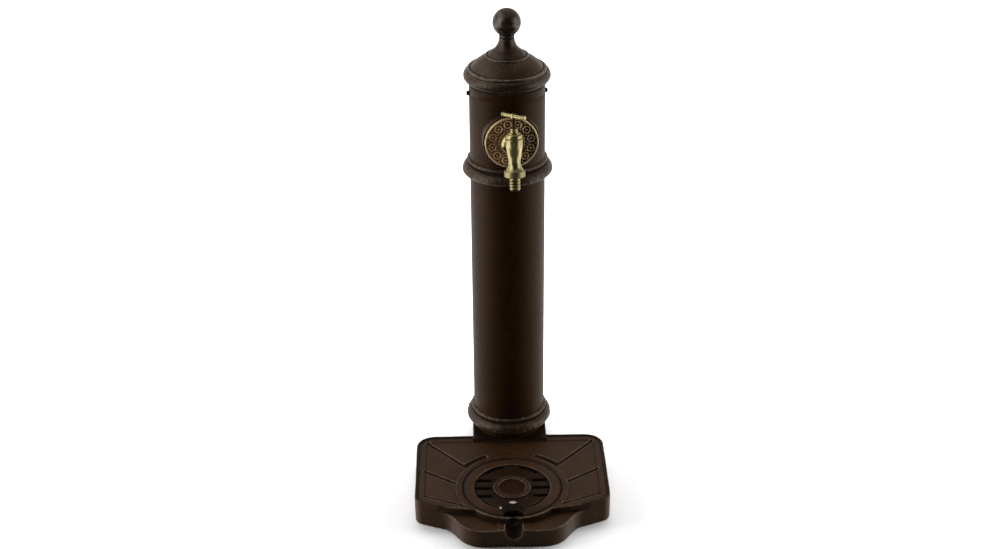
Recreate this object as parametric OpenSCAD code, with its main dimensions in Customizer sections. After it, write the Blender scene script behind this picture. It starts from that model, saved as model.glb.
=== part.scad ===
// Garden standpipe: a column on a drip tray, with a brass bib tap, a drain grate and a ball finial.
// The column's axis is Z, the ground is Z = 0 and the tray lies in front, towards -Y.

/* [Column] */
// Outside diameter of the column tube
column_d = 140; // [120:1:160]
// Wall of the column tube
column_wall = 4; // [3:0.5:6]
// Height of the tube's top end above the ground
column_top = 782; // [740:1:900]
// Turn of the column on its base, towards the right
column_turn = 4.2; // [-10:0.1:10]
// Distance of the scribed line below the tube's top end
scribe_drop = 16; // [8:0.5:20]
// Thickness of the flange inside the tube's foot
flange_t = 10; // [6:0.5:14]

/* [Beads] */
// Distance that the beads stand out from the column
bead_reach = 14; // [8:0.5:20]
// Height of a bead's roll above its widest line
bead_rise = 15; // [8:0.5:18]
// Height of a bead's roll below its widest line
bead_drop = 6; // [3:0.5:8]
// Radius of the thin ridge on top of a bead
bead_ridge_r = 2.5; // [1:0.1:4]
// Clear height between the plinth and the foot bead
foot_bead_gap = 14.5; // [4:0.5:40]
// Clear height between the middle bead and the tap's boss
mid_bead_gap = 8; // [4:0.5:40]

/* [Cap] */
// Height of the cap from its seam to the finial's seat
cap_h = 86.5; // [76:0.5:110]
// Distance of the cap's lower edge from the column's face
cap_lip = 2; // [1:0.5:4]
// Radius of the rim's roll
rim_r = 11.6; // [9:0.1:13]
// Distance of the rim's roll centre inside the column's face
rim_inset = 2; // [0:0.5:4]
// Height of the rim's roll centre above the seam
rim_z = 15.5; // [13:0.5:17]
// Radius of the thin ridge above the rim
cap_ridge_r = 2.2; // [1:0.1:3]
// Diameter of the dome at its top
dome_top_d = 92; // [80:1:105]
// Height of the dome's top above the seam
dome_top_z = 46.5; // [42:0.5:54]
// Radius of the step's bead on the dome
step_r = 3; // [2:0.1:5]
// Diameter where the upper cone starts
cone_d = 78; // [60:1:82]
// Diameter of the cap's neck
neck_d = 28; // [24:0.5:36]
// Wall of the cap's spigot inside the column
spigot_wall = 6; // [4:0.5:10]
// Length of the cap's spigot inside the column
spigot_len = 32; // [26:1:50]
// Distance of the cap screws below the seam
screw_drop = 18; // [12:0.5:20]
// Diameter of the cap screws
screw_d = 6; // [4:0.5:8]
// Diameter of a cap screw's head
screw_head_d = 9; // [8:0.5:14]
// Height of a cap screw's head
screw_head_h = 4.5; // [3:0.5:7]

/* [Finial] */
// Diameter of the ball
ball_d = 51.2; // [40:0.2:64]
// Height of the ball's centre above the cap's neck
ball_rise = 27; // [22:0.5:40]
// Height of the ring under the ball
finial_ring_h = 3.5; // [2:0.5:8]
// Diameter of the finial's stud
stud_d = 10; // [6:0.5:14]
// Length of the finial's stud
stud_len = 18; // [10:1:24]

/* [Base] */
// Width of the tray
tray_w = 370; // [340:1:420]
// Length of the tray from its rear edge to its nose
tray_len = 295; // [280:1:330]
// Length of the tray's straight sides
side_len = 215; // [200:1:225]
// Height of the tray's lip
rim_h = 52; // [48:0.5:70]
// Width of the lip along the tray's edge
lip_w = 4; // [3:0.5:6]
// Width of the border from the tray's edge to the recessed panels
rim_w = 17; // [10:0.5:22]
// Depth of the recessed panels below the lip
panel_drop = 3.5; // [2.5:0.5:5]
// Depth of the border and of the grate's land below the lip
land_drop = 2; // [0.5:0.5:2]
// Depth of the front apron below the lip
apron_drop = 15; // [10:0.5:18]
// Wall of the casting
cast_wall = 7; // [5:0.5:8]
// Radius of the rear corners
rear_corner_r = 34; // [20:1:45]
// Radius of the side corners
side_corner_r = 22; // [12:1:30]
// Width between the hollow corners beside the nose
shoulder_w = 241; // [225:1:255]
// Distance of the hollow corners behind the nose
shoulder_set = 54; // [44:1:62]
// Radius of the hollow corners
shoulder_r = 38; // [20:1:46]
// Width of the nose between its corner points
nose_w = 167; // [150:1:180]
// Radius of the nose's corners
nose_r = 55; // [30:1:62]
// Width of the drain channels
channel_w = 6; // [4:0.5:8]
// Depth of the drain channels below the panels
channel_deep = 3; // [2:0.5:3.5]
// Distance that the plinth stands out round the column
plinth_margin = 3; // [2:0.5:12]
// Height of the plinth
plinth_h = 54; // [53:0.5:80]
// Distance that the plinth laps over the tray
plinth_lap = 16; // [10:0.5:30]
// Thickness of the plinth's top plate
plinth_plate = 12; // [8:0.5:16]
// Width of the drain gutter in the apron
gutter_w = 32; // [24:1:38]
// Slope of the gutter towards its mouth
gutter_tilt = 16; // [8:1:18]
// Width of the raised strip that holds the gutter
strip_w = 58; // [50:1:66]
// Height of the raised strip above the apron
strip_h = 1.5; // [1:0.5:3]

/* [Grate] */
// Diameter of the grate
grate_d = 186; // [170:1:192]
// Distance of the grate's centre behind the nose
grate_set = 122; // [118:1:130]
// Thickness of the grate
grate_t = 8; // [6:0.5:12]
// Depth of the grate's barred middle below its border
grate_dish = 3; // [1:0.5:4]
// Width of the border round the bars
grate_border = 20; // [14:0.5:24]
// Width of the slots
slot_w = 7; // [5:0.5:10]
// Distance between the straight slots
slot_pitch = 25; // [20:0.5:26]
// Diameter of the boss in the middle
hub_d = 72; // [60:1:76]
// Diameter of the hollow in the boss
hub_hollow_d = 52; // [40:1:54]
// Width of the finger notch
notch_w = 42; // [30:1:46]
// Width of the ledge that carries the grate
ledge_w = 9; // [6:0.5:14]
// Height of the drain bowl's floor above the ground
bowl_floor = 16; // [12:0.5:24]
// Diameter of the drain hole
drain_d = 40; // [25:1:60]

/* [Tap] */
// Depth of the tap's inlet below the column's top
tap_below_top = 85; // [79:1:162]
// Diameter of the boss on the column
boss_d = 104; // [100:1:112]
// Distance that the boss stands out of the column
boss_out = 8; // [5:0.5:20]
// Diameter of the rosette
rosette_d = 97; // [80:1:99]
// Thickness of the rosette's plate
rosette_t = 4; // [2:0.5:8]
// Height of the rosette's rim above its plate
rosette_rim = 2; // [1:0.5:4]
// Distance from the rosette's plate to the spindle's axis
tap_reach = 44; // [40:1:60]
// Lean of the tap's barrel in degrees, which brings its outlet forward of its handle
tap_lean = 10; // [0:0.5:12]
// Diameter of the tap's inlet thread
shank_d = 20.9; // [18:0.1:24]
// Diameter of the tap's collar
collar_d = 44; // [36:0.5:48]
// Diameter of the tap's hub
tap_hub_d = 31.6; // [31:0.2:36]
// Diameter of the tap's waist
waist_d = 22; // [19:0.2:24]
// Diameter of the outlet thread
outlet_d = 33.2; // [31:0.2:36]
// Height of the tap's body above the inlet's axis
body_rise = 25; // [24:0.5:32]
// Distance of the outlet's end below the inlet's axis
outlet_drop = 38; // [36:0.1:50]
// Length of the outlet thread
outlet_len = 5.8; // [4:0.2:10]
// Bore of the waterway
waterway_d = 13; // [10:0.5:13.5]
// Diameter of the valve chamber
chamber_d = 19; // [17:0.5:20]
// Diameter of the bonnet's thread
bonnet_d = 23; // [22:0.2:24]
// Diameter of the bonnet's top
bonnet_top_d = 22; // [18:0.5:24]
// Height of the bonnet above its washer
bonnet_h = 10; // [9.5:0.5:16]
// Diameter of the gland nut
gland_d = 14.3; // [13:0.1:18]
// Height of the gland nut
gland_h = 7.5; // [5:0.5:14]
// Diameter of the spindle's thread
spindle_d = 10; // [9:0.5:10.5]
// Diameter of the spindle's stem
stem_d = 7; // [6:0.5:8]
// Clear height between the gland nut and the handle
stem_clear = 17.5; // [14:0.5:40]
// Diameter of the handle's bar
bar_d = 9; // [8:0.5:12]
// Length of the handle's bar
bar_len = 58; // [40:1:66]
// Turn of the handle at rest, measured from the column's right
bar_turn = -53; // [-90:1:90]
// Diameter of the union nut
nut_d = 38; // [37:0.5:44]
// Height of the union nut
nut_h = 11.5; // [11:0.5:20]
// Diameter of the hose tail over its barbs
tail_d = 19.7; // [18:0.1:22]
// Length of the hose tail below the nut
tail_len = 25; // [20:0.5:50]
// Number of barbs
barb_n = 4; // [2:1:5]

/* [Supply] */
// Outside diameter of the supply pipe
pipe_d = 21.3; // [17:0.1:26]
// Bore of the supply pipe
pipe_bore = 16; // [12:0.5:16.5]
// Wall of the elbow and of the inlet socket
socket_wall = 3.5; // [2.5:0.5:5]
// Depth of the sockets
socket_deep = 14; // [10:0.5:18]
// Core diameter of the inlet thread
inlet_d = 18.6; // [15:0.1:20]

/* [Fits] */
// Radial gap between fixed pieces
fit_gap = 0.1; // [0.05:0.01:0.2]
// Radial gap between running pieces
run_gap = 0.06; // [0.02:0.01:0.1]
// Radial gap round the grate
grate_gap = 0.8; // [0.5:0.1:2]

/* [Hidden] */
$fn = 96;
arc_n = 10;
over = 1;
// Column
column_r = column_d / 2;
column_ir = column_r - column_wall;
scribe_w = 1.2;
scribe_deep = 0.5;
// Base
plinth_w = column_d + 2 * plinth_margin;
rear_y = plinth_lap - plinth_w / 2;
nose_y = rear_y - tray_len;
side_y = rear_y - side_len;
shoulder_y = nose_y + shoulder_set;
grate_y = nose_y + grate_set;
panel_z = rim_h - panel_drop;
land_z = rim_h - land_drop;
apron_z = rim_h - apron_drop;
plinth_wall = cast_wall + 2;
recess_r = grate_d / 2 + grate_gap;
ledge_z = land_z - grate_t;
bowl_r = recess_r - ledge_w;
bar_r = grate_d / 2 - grate_border;
hub_clear = 3;
// The land round the grate, the arc channels behind it and the apron's rear edge
land_w = 14;
land_r = recess_r + land_w;
arc_channel_w = 13;
arc_channel_r = land_r + arc_channel_w;
arc_channel_from = 24;
arc_channel_to = 52;
apron_ring_r = recess_r + land_w / 2;
apron_tip_w = 1.25 * shoulder_w;
apron_tip_set = 1.2 * shoulder_set;
apron_mid_w = 0.875 * nose_w;
apron_mid_set = 0.95 * shoulder_set;
// Where each channel's line leaves the border, as a part of the side's length, its bearing,
// and how far along the line the channel starts
channel_starts = [0.045, 0.52, 0.9];
channel_bearings = [48, 34, 23];
channel_insets = [8, 0, 0];
channel_run = tray_w / 2;
gutter_r = gutter_w / 2;
gutter_run = 20;
gutter_start = nose_y + gutter_run;
corners = [
    [tray_w / 2, rear_y], [-tray_w / 2, rear_y], [-tray_w / 2, side_y],
    [-shoulder_w / 2, shoulder_y], [-nose_w / 2, nose_y], [nose_w / 2, nose_y],
    [shoulder_w / 2, shoulder_y], [tray_w / 2, side_y]
];
corner_radii = [
    rear_corner_r, rear_corner_r, side_corner_r, shoulder_r,
    nose_r, nose_r, shoulder_r, side_corner_r
];
// Foot bolts
bolt_d = 8;
bolt_gap = 0.5;
bolt_head_h = 5.5;
bolt_head_d = 15;
bolt_grip = plinth_plate + flange_t - 1;
bolt_spread = 1.3;
bolt_circle = bolt_spread * column_ir;
washer_d = 16;
washer_t = 1.6;
// Height of the tap's inlet above the ground
tap_z = column_top - tap_below_top;
// Beads
bead_ridge_z = bead_rise + 2.5 * bead_ridge_r;
bead_top_angle = 78;
bead_h = bead_ridge_z + bead_ridge_r;
foot_bead_z = plinth_h + foot_bead_gap + bead_drop;
mid_bead_z = tap_z - boss_d / 2 - mid_bead_gap - bead_h;
// Cap and finial
spigot_r = column_ir - 2.5 * fit_gap;
neck_r = neck_d / 2;
cap_top = column_top + cap_h;
stud_gap = 2;
cap_shell = 14;
cone_bend = 2.1;
finial_step = 0.8;
// Tap: distances forward of the column's axis, and heights
boss_y = column_r + boss_out;
plate_y = boss_y + rosette_t;
rosette_rim_w = 3;
barrel_y = plate_y + tap_reach;
saddle_t = 4;
bush_y = column_ir - saddle_t;
saddle_w = 7;
back_nut_h = 6;
back_nut_w = 6.5;
elbow_gap = 1;
elbow_y = bush_y - back_nut_h - elbow_gap;
shank_y = elbow_y - socket_deep + elbow_gap;
shank_r = shank_d / 2;
hole_r = shank_r + fit_gap;
arm_d = waist_d - 2;
collar_h = 16;
collar_edge = 2;
inlet_port_d = 9;
seat_z = tap_z - inlet_port_d / 2 - 0.5;
body_top = tap_z + body_rise;
bonnet_len = 11;
outlet_z = tap_z - outlet_drop;
flare_z = outlet_z + outlet_len;
flare_step = 0.4;
waist_z = flare_z + 0.45 * (tap_z - flare_z);
hub_z = body_top - 4;
tap_bevel = 1;
seal_t = 1;
bonnet_z = body_top + seal_t;
bonnet_top = bonnet_z + bonnet_h;
bonnet_flange_h = 3.5;
bonnet_step = 0.8;
bonnet_neck_h = 2;
skirt_gap = 0.5;
packing_r = stem_d / 2 + 1.9;
packing_h = 3;
packing_z = bonnet_top - 7;
gland_z = bonnet_top;
gland_top = gland_z + gland_h;
// Valve
valve_rest = 3.5;
disc_z = seat_z + valve_rest;
disc_h = 2.5;
disc_d = chamber_d - 3;
spindle_z = disc_z + disc_h + run_gap;
// The spindle's thread: its pitch times its turns lifts the valve
spindle_pitch = 2.5;
spindle_turns = 1.5;
valve_lift = spindle_pitch * spindle_turns;
thread_bore_top = packing_z - 2;
thread_top = thread_bore_top - valve_lift - 1;
jumper_d = 5;
jumper_len = 14;
valve_stud_d = 3;
valve_nut_h = 3;
valve_nut_d = 6.4;
port_d = waterway_d - 1;
// Handle
bar_seat = gland_top + stem_clear;
bar_z = bar_seat + bar_d / 2;
bar_hub_d = bar_d + 1.4;
bar_knob = 4.5;
bar_groove = 1.1;
bar_taper = 0.5;
tenon_d = 5;
peen_d = 6.4;
peen_h = 1.3;
// Hose end
nut_gap = 0.2;
nut_z = flare_z - nut_gap - nut_h;
nut_lip = 2.2;
nut_bevel = 0.8;
tail_seal_t = 1.5;
tail_flange_z = nut_z + nut_lip;
tail_flange_h = outlet_z - tail_seal_t - tail_flange_z;
tail_flange_d = outlet_d - 2;
tail_neck_d = tail_d + 2;
tail_plain = 3;
barb_pitch = (tail_len - tail_plain) / barb_n;
barb_land = 1.6;
barb_back = 0.8;
barb_deep = 1.1;
// Supply
pipe_r = pipe_d / 2;
elbow_drop = 30;
elbow_back = 15;
elbow_step = 1;
pipe_top = tap_z - elbow_drop + socket_deep;
inlet_len = 34;
pipe_z = inlet_len - socket_deep;
grommet_wall = 6;
pipe_hole_r = pipe_r + grommet_wall;

iron = [0.16, 0.11, 0.09];
black = [0.05, 0.05, 0.05];
steel = [0.6, 0.6, 0.6];
polished = [0.83, 0.68, 0.36];
antique = [0.5, 0.36, 0.18];
rubber = [0.12, 0.12, 0.12];
fibre = [0.45, 0.2, 0.15];

// Points on an arc about centre c from angle a to angle b
function arc(c, r, a, b) =
    [for (k = [0 : arc_n]) c + r * [cos(a + (b - a) * k / arc_n), sin(a + (b - a) * k / arc_n)]];

function unit(v) = v / norm(v);
function left_of(v) = [-v[1], v[0]];
function wrapped(a) = a > 180 ? a - 360 : a < -180 ? a + 360 : a;
function before(i, list) = list[(i + len(list) - 1) % len(list)];
function after(i, list) = list[(i + 1) % len(list)];

// The corner b between a and c, rounded with radius r
function rounded(a, b, c, r) =
    let (u = unit(a - b), v = unit(c - b))
    let (half = acos(u * v) / 2)
    let (centre = b + unit(u + v) * r / sin(half))
    let (start = b + u * r / tan(half) - centre, end = b + v * r / tan(half) - centre)
    let (first = atan2(start[1], start[0]), last = atan2(end[1], end[0]))
    arc(centre, r, first, first + wrapped(last - first));

// A corner of a counter-clockwise outline moved inwards by d
function inner_corner(a, b, c, d) =
    let (m = left_of(unit(b - a)), n = left_of(unit(c - b)))
    b + d * (m + n) / (1 + m * n);

function turns_left(a, b, c) = cross(b - a, c - b) > 0;

// The tray's outline, d inside its edge
function outline(d) =
    let (pts = [for (i = [0 : len(corners) - 1])
        inner_corner(before(i, corners), corners[i], after(i, corners), d)])
    let (radii = [for (i = [0 : len(corners) - 1])
        turns_left(before(i, corners), corners[i], after(i, corners))
            ? max(corner_radii[i] - d, 2) : corner_radii[i] + d])
    [for (i = [0 : len(pts) - 1]) each rounded(before(i, pts), pts[i], after(i, pts), radii[i])];

module ring(outer_d, inner_d, h) {
    difference() {
        cylinder(d = outer_d, h = h);
        translate([0, 0, -over]) cylinder(d = inner_d, h = h + 2 * over);
    }
}

// A six-sided bar, d across its corners
module hexagon(d, h) {
    cylinder(d = d, h = h, $fn = 6);
}

module both_sides() {
    children();
    mirror([1, 0, 0]) children();
}

module on_column() {
    rotate([0, 0, column_turn]) children();
}

// Along the tap's inlet: Z runs forward from the column's axis
module along_inlet() {
    on_column() translate([0, 0, tap_z]) rotate([90, 0, 0]) children();
}

// Along the leaning barrel: Z runs up its axis, measured as if it stood upright
module on_barrel(z) {
    on_column() translate([0, -barrel_y, tap_z]) rotate([-tap_lean, 0, 0])
        translate([0, 0, z - tap_z]) children();
}

module at_grate(z) {
    translate([0, grate_y, z]) children();
}

// A slice of the round about the grate's centre, from the rear towards the left
module slice(from, to, r, h) {
    reach = 2 * r;
    linear_extrude(h)
        polygon([[0, 0], reach * [-sin(from), cos(from)], reach * [-sin(to), cos(to)]]);
}

// A strip along channel i, from the left border inwards, w wide towards the front
module channel_strip(i, w, inset, z) {
    translate([-tray_w / 2 + rim_w, rear_y - channel_starts[i] * side_len, z])
        rotate([0, 0, -channel_bearings[i]])
            translate([inset, -w, 0]) cube([channel_run, w, rim_h]);
}

// The straight channels in the panels, and the arcs that the rear pair runs into
module drain_channels() {
    floor_z = panel_z - channel_deep;
    difference() {
        both_sides() {
            for (i = [0 : len(channel_starts) - 1])
                channel_strip(i, channel_w, channel_insets[i], floor_z);
            intersection() {
                at_grate(floor_z) cylinder(r = arc_channel_r, h = rim_h);
                at_grate(floor_z) slice(arc_channel_from, arc_channel_to, arc_channel_r, rim_h);
            }
        }
        at_grate(floor_z - over) cylinder(r = land_r, h = 2 * rim_h);
    }
}

// The space cut out of the tray's top: the border inside the lip, the panels and the channels
module deck_recess() {
    front = len(channel_starts) - 1;
    translate([0, 0, land_z]) linear_extrude(rim_h) polygon(outline(lip_w));
    difference() {
        translate([0, 0, panel_z]) linear_extrude(rim_h) polygon(outline(rim_w));
        at_grate(panel_z - over) cylinder(r = land_r, h = rim_h);
        both_sides() channel_strip(front, tray_len, -rim_w, panel_z - over);
    }
    drain_channels();
}

module apron_cut() {
    far = nose_y - tray_len;
    tip = nose_y + apron_tip_set;
    mid = nose_y + apron_mid_set;
    difference() {
        translate([0, 0, apron_z]) linear_extrude(rim_h)
            polygon([
                [-apron_tip_w / 2, tip], [-apron_mid_w / 2, mid], [apron_mid_w / 2, mid],
                [apron_tip_w / 2, tip], [apron_tip_w / 2, far], [-apron_tip_w / 2, far]
            ]);
        at_grate(0) cylinder(r = apron_ring_r, h = 2 * rim_h);
        translate([-strip_w / 2, far, 0]) cube([strip_w, tray_len + grate_set, apron_z + strip_h]);
    }
}

// A round-ended half pipe that falls towards the nose
module gutter_cut() {
    translate([0, gutter_start, apron_z + strip_h])
        rotate([90 + gutter_tilt, 0, 0])
            rotate_extrude()
                polygon(concat([[0, tray_len]], [[gutter_r, tray_len]],
                    arc([0, 0], gutter_r, 0, -90)));
}

// The hollow under the tray and the plinth, and what stays solid in it
module underside_cut() {
    deck_edge = nose_y + apron_tip_set + cast_wall;
    difference() {
        union() {
            translate([0, 0, -over]) linear_extrude(apron_z - cast_wall + over) polygon(outline(cast_wall));
            intersection() {
                linear_extrude(panel_z - cast_wall) polygon(outline(cast_wall));
                translate([-tray_w, deck_edge, 0]) cube([2 * tray_w, tray_len, rim_h]);
            }
        }
        at_grate(bowl_floor - cast_wall) cylinder(r = recess_r + cast_wall, h = rim_h);
        translate([-gutter_r - cast_wall, nose_y, -over])
            cube([gutter_w + 2 * cast_wall, grate_set - bowl_r, rim_h]);
        translate([-plinth_w / 2, -plinth_w / 2, -over]) cube([plinth_w, plinth_w, plinth_h]);
    }
    hollow = plinth_w - 2 * plinth_wall;
    translate([-hollow / 2, -hollow / 2, -over]) cube([hollow, hollow, plinth_h - plinth_plate + over]);
}

module at_foot_bolts(z) {
    for (k = [0 : 3]) rotate([0, 0, 45 + 90 * k]) translate([bolt_circle / 2, 0, z]) children();
}

module base_casting() color(iron) {
    difference() {
        union() {
            difference() {
                linear_extrude(rim_h) polygon(outline(0));
                deck_recess();
                apron_cut();
            }
            translate([-plinth_w / 2, -plinth_w / 2, 0]) cube([plinth_w, plinth_w, plinth_h]);
        }
        underside_cut();
        gutter_cut();
        at_grate(ledge_z) cylinder(r = recess_r, h = rim_h);
        at_grate(bowl_floor) cylinder(r = bowl_r, h = rim_h);
        at_grate(-over) cylinder(d = drain_d, h = rim_h);
        cylinder(r = pipe_hole_r, h = 2 * plinth_h);
        at_foot_bolts(0) cylinder(r = bolt_d / 2 + bolt_gap, h = 2 * plinth_h);
    }
}

// The straight slots beside the boss and the curved ones behind and before it
module grate_slots(h) {
    arc_r = bar_r - slot_w / 2;
    rear_angles = [12, 46];
    front_angles = [26, 54];
    for (k = [-1 : 1]) {
        intersection() {
            cylinder(r = bar_r, h = h);
            both_sides() translate([hub_d / 2 + hub_clear, k * slot_pitch - slot_w / 2, 0])
                cube([bar_r, slot_w, h]);
        }
    }
    both_sides() {
        intersection() {
            ring(2 * arc_r + slot_w, 2 * arc_r - slot_w, h);
            slice(rear_angles[0], rear_angles[1], bar_r, h);
        }
        intersection() {
            ring(2 * arc_r + slot_w, 2 * arc_r - slot_w, h);
            rotate([0, 0, 180]) slice(front_angles[0], front_angles[1], bar_r, h);
        }
    }
}

module drain_grate() color(iron) {
    at_grate(ledge_z) difference() {
        cylinder(d = grate_d, h = grate_t);
        translate([0, 0, grate_t - grate_dish]) ring(2 * bar_r, hub_d, grate_t);
        translate([0, 0, grate_t - grate_dish]) cylinder(d = hub_hollow_d, h = grate_t);
        translate([0, 0, -over]) grate_slots(grate_t + 2 * over);
        translate([0, -grate_d / 2, -over]) cylinder(d = notch_w, h = grate_t + 2 * over);
    }
}

module column_tube() color(iron) on_column() {
    difference() {
        translate([0, 0, plinth_h]) ring(column_d, 2 * column_ir, column_top - plinth_h);
        translate([0, 0, tap_z]) rotate([90, 0, 0]) cylinder(r = hole_r, h = column_d);
        both_sides() translate([0, 0, column_top - screw_drop])
            rotate([0, 90, 0]) cylinder(r = screw_d / 2 + 2 * fit_gap, h = column_d);
        translate([0, 0, column_top - scribe_drop]) rotate_extrude()
            polygon([
                [column_r - scribe_deep, 0], [column_r + over, scribe_w], [column_r + over, -scribe_w]
            ]);
    }
}

module foot_flange() color(iron) translate([0, 0, plinth_h]) difference() {
    ring(2 * (column_ir - fit_gap), 2 * pipe_hole_r, flange_t);
    at_foot_bolts(-over) cylinder(r = bolt_d / 2 + fit_gap, h = flange_t + 2 * over);
}

module foot_bolts() color(steel) {
    under = plinth_h - plinth_plate - washer_t;
    at_foot_bolts(under - bolt_head_h) hexagon(bolt_head_d, bolt_head_h);
    at_foot_bolts(under - over) cylinder(d = bolt_d, h = washer_t + bolt_grip + over);
}

module foot_washers() color(steel) {
    at_foot_bolts(plinth_h - plinth_plate - washer_t) ring(washer_d, bolt_d + 2 * bolt_gap, washer_t);
}

// A roll with a thin ridge on top, about the column; z = 0 is its widest line
module bead() color(iron) {
    bore = column_r + fit_gap;
    ridge = [column_r + bead_ridge_r, bead_ridge_z];
    rotate_extrude()
        polygon(concat(
            [[bore, -bead_drop]],
            [for (k = [0 : arc_n]) [
                column_r + bead_reach * (k + 1) / (arc_n + 1),
                -bead_drop * sqrt(1 - pow((k + 1) / (arc_n + 1), 2))
            ]],
            [for (k = [1 : arc_n]) [
                column_r + bead_reach * cos(bead_top_angle * k / arc_n),
                bead_rise * sin(bead_top_angle * k / arc_n)
            ]],
            arc(ridge, bead_ridge_r, -60, 90),
            [[bore, bead_h]]
        ));
}

module foot_bead() translate([0, 0, foot_bead_z]) bead();

module mid_bead() translate([0, 0, mid_bead_z]) bead();

module column_cap() color(iron) on_column() {
    lip = column_r + cap_lip;
    rim = [column_r - rim_inset, rim_z];
    low = acos((lip - rim[0]) / rim_r);
    ridge = [rim[0] - cap_ridge_r / 3, rim_z + rim_r + 0.6 * cap_ridge_r];
    step = [dome_top_d / 2 - 1.3 * step_r, dome_top_z + step_r / 3];
    cone_z = step[1] + 1.3 * step_r;
    cone = [cone_d / 2 - neck_r, cap_h - cone_z];
    inner_r = spigot_r - spigot_wall;
    translate([0, 0, column_top]) difference() {
        rotate_extrude()
            polygon(concat(
                [[0, -spigot_len], [spigot_r, -spigot_len], [spigot_r, 0], [lip, 0]],
                arc(rim, rim_r, -low, 62),
                arc(ridge, cap_ridge_r, -30, 110),
                [[dome_top_d / 2, dome_top_z]],
                arc(step, step_r, 20, 90),
                [for (k = [0 : arc_n]) [
                    neck_r + cone[0] * pow(1 - k / arc_n, cone_bend), cone_z + cone[1] * k / arc_n
                ]],
                [[0, cap_h]]
            ));
        translate([0, 0, -spigot_len - over]) cylinder(r = inner_r, h = spigot_len + rim_z + over);
        translate([0, 0, rim_z - fit_gap])
            cylinder(r1 = inner_r, r2 = neck_r, h = cone_z - cap_shell - rim_z);
        translate([0, 0, cap_h - stud_len - stud_gap])
            cylinder(r = stud_d / 2 + fit_gap, h = stud_len + stud_gap + over);
        both_sides() translate([0, 0, -screw_drop]) rotate([0, 90, 0])
            cylinder(r = screw_d / 2 + fit_gap, h = column_d);
    }
}

module cap_screws() color(black) on_column() both_sides() {
    reach = column_wall + spigot_wall;
    translate([column_r, 0, column_top - screw_drop]) rotate([0, 90, 0]) {
        cylinder(d = screw_head_d, h = screw_head_h);
        translate([0, 0, -reach]) cylinder(d = screw_d, h = reach + over);
    }
}

module finial() color(iron) translate([0, 0, cap_top]) {
    translate([0, 0, -stud_len]) cylinder(d = stud_d, h = stud_len + over);
    cylinder(d = neck_d, h = finial_ring_h);
    cylinder(d = neck_d - 2 * finial_step, h = ball_rise);
    translate([0, 0, ball_rise]) sphere(d = ball_d);
}

module tap_boss() color(iron) difference() {
    along_inlet() cylinder(d = boss_d, h = boss_y);
    cylinder(r = column_r + fit_gap, h = 2 * tap_z);
    along_inlet() cylinder(r = hole_r, h = 2 * boss_y);
}

module rosette() color(antique) along_inlet() {
    translate([0, 0, boss_y]) ring(rosette_d, 2 * hole_r, rosette_t);
    translate([0, 0, boss_y]) ring(rosette_d, rosette_d - 2 * rosette_rim_w, rosette_t + rosette_rim);
}

// The turned outside of the tap's barrel
module barrel_solid() {
    wide = tap_hub_d / 2;
    narrow = waist_d / 2;
    foot = outlet_d / 2;
    on_barrel(0) rotate_extrude()
        polygon(concat(
            [[0, outlet_z], [foot, outlet_z], [foot, flare_z]],
            [for (k = [0 : arc_n - 1]) [
                narrow + (foot - narrow - flare_step) * pow(1 - k / arc_n, 2),
                flare_z + (waist_z - flare_z) * k / arc_n
            ]],
            [for (k = [0 : arc_n], s = [k / arc_n]) [
                narrow + (wide - narrow) * s * s * (3 - 2 * s),
                waist_z + (hub_z - waist_z) * s
            ]],
            [[wide, body_top - tap_bevel], [wide - tap_bevel, body_top], [0, body_top]]
        ));
}

module tap_body() color(polished) {
    difference() {
        union() {
            along_inlet() translate([0, 0, shank_y]) cylinder(r = shank_r, h = plate_y - shank_y + over);
            along_inlet() translate([0, 0, plate_y]) rotate_extrude()
                polygon(concat(
                    [[0, 0], [collar_d / 2, 0]],
                    [for (k = [0 : arc_n]) [
                        arm_d / 2 + (collar_d - arm_d) / 2 * cos(90 * k / arc_n),
                        collar_edge + (collar_h - collar_edge) * sin(90 * k / arc_n)
                    ]],
                    [[0, collar_h]]
                ));
            along_inlet() translate([0, 0, plate_y]) cylinder(d = arm_d - flare_step, h = tap_reach);
            barrel_solid();
        }
        along_inlet() cylinder(d = waterway_d, h = plate_y + collar_h);
        along_inlet() cylinder(d = inlet_port_d, h = barrel_y);
        on_barrel(seat_z) cylinder(d = chamber_d, h = body_rise + tap_z);
        on_barrel(body_top - bonnet_len) cylinder(r = bonnet_d / 2 + fit_gap, h = tap_z);
        on_barrel(outlet_z - over) cylinder(d = port_d, h = tap_z - outlet_z);
    }
}

module bonnet() color(polished) on_barrel(bonnet_z) difference() {
    wide = tap_hub_d / 2 - bonnet_step;
    top = bonnet_top_d / 2;
    skirt = skirt_gap - seal_t - bonnet_len;
    rotate_extrude()
        polygon(concat(
            [[0, skirt], [bonnet_d / 2, skirt], [bonnet_d / 2, 0], [wide, 0]],
            [for (k = [0 : arc_n]) [
                top + (wide - top) * cos(90 * k / arc_n),
                bonnet_flange_h + (bonnet_h - bonnet_flange_h - bonnet_neck_h) * sin(90 * k / arc_n)
            ]],
            [[top, bonnet_h], [0, bonnet_h]]
        ));
    translate([0, 0, -2 * bonnet_len])
        cylinder(r = spindle_d / 2 + run_gap, h = 2 * bonnet_len + thread_bore_top - bonnet_z);
    translate([0, 0, -bonnet_len]) cylinder(r = stem_d / 2 + run_gap, h = 2 * bonnet_len + bonnet_h);
    translate([0, 0, packing_z - bonnet_z]) cylinder(r = packing_r + fit_gap, h = bonnet_h);
}

module bonnet_washer() color(fibre) on_barrel(body_top)
    ring(tap_hub_d - 2 * tap_bevel, bonnet_d + 4 * fit_gap, seal_t);

module gland_nut() color(polished) on_barrel(packing_z + packing_h) {
    spigot = gland_z - packing_z - packing_h;
    ring(2 * packing_r, stem_d + 2 * run_gap, spigot);
    translate([0, 0, spigot]) ring(gland_d, stem_d + 2 * run_gap, gland_h);
}

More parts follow.
